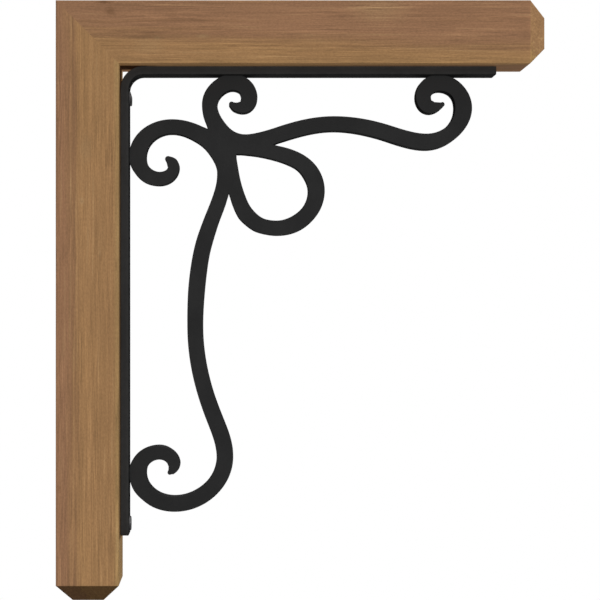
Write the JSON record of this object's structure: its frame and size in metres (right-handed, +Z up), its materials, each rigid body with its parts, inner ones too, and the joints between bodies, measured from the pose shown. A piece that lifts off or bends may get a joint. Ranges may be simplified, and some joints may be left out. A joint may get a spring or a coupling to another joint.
{
  "type": "wooden bracket",
  "caption": "L-shaped timber bracket, mitred at the corner, with chamfered free ends and a black iron strap and scrollwork set into its inner angle.",
  "frame": {"origin": "middle of the post's flat back face, the face that lies against the wall", "axes": "+X out from the wall along the arm, +Y away from the viewer across the timber's depth, +Z up"},
  "size_m": [0.4933, 0.0888, 0.6049],
  "materials": {
    "timber": "brown stained softwood, matte, with fine straight grain and small knots",
    "black_iron": "flat bar iron, satin black coating, slightly uneven",
    "screw_head": "satin black, worn lighter at the corners"
  },
  "bodies": {
    "root": {"post": "timber", "arm": "timber", "iron_strap": "black_iron", "iron_scrollwork": "black_iron", "screw_upper": "screw_head", "screw_lower": "screw_head"}
  },
  "joints": []
}
